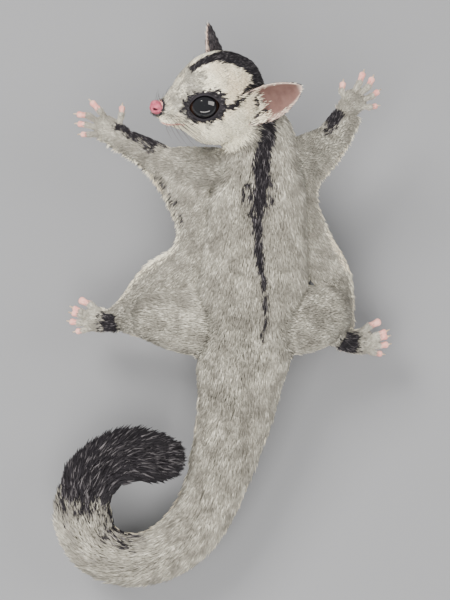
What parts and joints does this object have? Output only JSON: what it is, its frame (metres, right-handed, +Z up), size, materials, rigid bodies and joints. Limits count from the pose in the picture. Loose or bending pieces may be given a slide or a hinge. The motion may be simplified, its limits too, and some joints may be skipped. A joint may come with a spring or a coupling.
{
  "type": "sugar glider model",
  "caption": "Life-size still model of a sugar glider in flight, limbs and gliding membranes spread, bushy tail curled, on a flat display stand.",
  "frame": {"origin": "middle of the display stand's underside, on the floor", "axes": "+Z up; +Y the way the glider flies, from tail to head; +X to its right"},
  "size_m": [0.1538, 0.2437, 0.0978],
  "materials": {
    "grey_coat": "short soft fur, warm grey with cream edges and a dark stripe",
    "dark_coat": "bushy charcoal fur",
    "bare_skin": "matte pink skin",
    "ear_skin": "thin matte skin",
    "nose_skin": "moist pink skin",
    "eye_gloss": "polished black",
    "claw_horn": "pale horn",
    "stand_paint": "matte black paint",
    "stand_steel": "brushed"
  },
  "bodies": {
    "root": {"torso": "grey_coat", "neck": "grey_coat", "head": "grey_coat", "upper_arm_left": "grey_coat", "upper_arm_right": "grey_coat", "forearm_left": "grey_coat", "forearm_right": "grey_coat", "thigh_left": "grey_coat", "thigh_right": "grey_coat", "shin_left": "grey_coat", "shin_right": "grey_coat", "membrane_left": "grey_coat", "membrane_right": "grey_coat", "tail_1": "grey_coat", "tail_2": "grey_coat", "tail_3": "grey_coat", "tail_4": "grey_coat", "tail_5": "dark_coat", "hand_left": "bare_skin", "hand_right": "bare_skin", "foot_left": "bare_skin", "foot_right": "bare_skin", "ear_left": "ear_skin", "ear_right": "ear_skin", "nose": "nose_skin", "eye_left": "eye_gloss", "eye_right": "eye_gloss", "stand_base": "stand_paint", "stand_rod": "stand_steel"}
  },
  "joints": []
}
